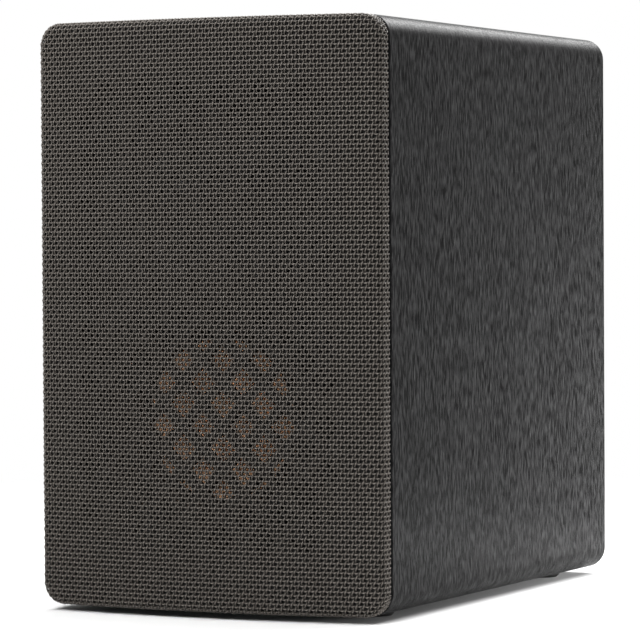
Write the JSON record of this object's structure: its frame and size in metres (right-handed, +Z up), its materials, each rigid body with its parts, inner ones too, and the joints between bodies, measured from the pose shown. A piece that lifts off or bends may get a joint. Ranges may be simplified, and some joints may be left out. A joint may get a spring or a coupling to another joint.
{
  "type": "wireless speaker",
  "caption": "Box-shaped wireless speaker: brushed dark aluminium sleeve, cloth-covered grille over a woofer and a tweeter, rear port, buttons and sockets.",
  "frame": {"origin": "on the floor under the middle of the box", "axes": "+Z up, the grille faces -Y, +X to the right as seen from the front"},
  "size_m": [0.117, 0.1854, 0.182],
  "materials": {
    "sleeve_aluminium": "dark anodised, brushed across the run of the sleeve",
    "grille_cloth": "open plain weave of coated yarn",
    "black_plastic": "fine moulded grain",
    "button_plastic": "satin",
    "soft_rubber": "matt",
    "black_steel": "black zinc",
    "plated_steel": "zinc plated",
    "ferrite": "ground, unpainted",
    "copper_cone": "copper pigment, satin",
    "former_film": "amber film and board",
    "copper_wire": "enamelled",
    "driver_cloth": "resin-treated cloth",
    "board_laminate": "green solder mask",
    "bare_aluminium": "extruded",
    "transformer_core": "ferrite and taped winding",
    "capacitor_sleeve": "shrunk sleeve",
    "clear_plastic": "clear",
    "lead_sheath": "insulated pair"
  },
  "bodies": {
    "cabinet": {"amplifier_chip": "black_plastic", "amplifier_heatsink": "bare_aluminium", "aux_jack": "black_plastic", "baffle_screws": "black_steel", "baffle_seal": "soft_rubber", "board_screws": "black_steel", "button_switches": "black_plastic", "cabinet_sleeve": "sleeve_aluminium", "foot_front_left": "soft_rubber", "foot_front_right": "soft_rubber", "foot_rear_left": "soft_rubber", "foot_rear_right": "soft_rubber", "front_baffle": "black_plastic", "grille_cloth": "grille_cloth", "grille_cups": "soft_rubber", "grille_frame": "black_plastic", "grille_pegs": "black_plastic", "inlet_pins": "plated_steel", "light_pipe": "clear_plastic", "main_board": "board_laminate", "mains_inlet": "black_plastic", "network_socket": "black_plastic", "panel_screws": "black_steel", "panel_seal": "soft_rubber", "port_tube": "black_plastic", "power_board": "board_laminate", "rear_panel": "black_plastic", "reservoir_capacitors": "capacitor_sleeve", "speaker_headers": "black_plastic", "status_led": "clear_plastic", "transformer": "transformer_core", "tweeter_dome": "driver_cloth", "tweeter_faceplate": "black_plastic", "tweeter_lead": "lead_sheath", "tweeter_magnet": "ferrite", "tweeter_screws": "black_steel", "tweeter_terminals": "former_film", "tweeter_top_plate": "plated_steel", "tweeter_winding": "copper_wire", "tweeter_yoke": "plated_steel", "wireless_module": "plated_steel", "woofer_basket": "black_steel", "woofer_gasket": "soft_rubber", "woofer_lead": "lead_sheath", "woofer_magnet": "ferrite", "woofer_screws": "black_steel", "woofer_spider": "driver_cloth", "woofer_surround": "soft_rubber", "woofer_terminals": "former_film", "woofer_top_plate": "plated_steel", "woofer_trim_ring": "soft_rubber", "woofer_yoke": "plated_steel"},
    "cone_assembly": {"woofer_cone": "copper_cone", "woofer_dust_cap": "copper_cone", "woofer_coil_former": "former_film", "woofer_winding": "copper_wire"},
    "power_key": {"power_button": "button_plastic"},
    "pairing_key": {"pairing_button": "button_plastic"},
    "volume_down_key": {"volume_down_button": "button_plastic"},
    "volume_up_key": {"volume_up_button": "button_plastic"}
  },
  "joints": [
    {"name": "woofer_stroke", "type": "slide", "parent": "cabinet", "child": "cone_assembly", "axis": [0, -1, 0], "range_m": [-0.0025, 0.0025], "stiffness_N_per_m": 1500, "deforming": ["woofer_surround", "woofer_spider"]},
    {"name": "power_press", "type": "slide", "parent": "cabinet", "child": "power_key", "axis": [0, -1, 0], "range_m": [0, 0.0006], "stiffness_N_per_m": 2500, "springref_m": -0.0002},
    {"name": "pairing_press", "type": "slide", "parent": "cabinet", "child": "pairing_key", "axis": [0, -1, 0], "range_m": [0, 0.0006], "stiffness_N_per_m": 2500, "springref_m": -0.0002},
    {"name": "volume_down_press", "type": "slide", "parent": "cabinet", "child": "volume_down_key", "axis": [0, -1, 0], "range_m": [0, 0.0006], "stiffness_N_per_m": 2500, "springref_m": -0.0002},
    {"name": "volume_up_press", "type": "slide", "parent": "cabinet", "child": "volume_up_key", "axis": [0, -1, 0], "range_m": [0, 0.0006], "stiffness_N_per_m": 2500, "springref_m": -0.0002}
  ]
}
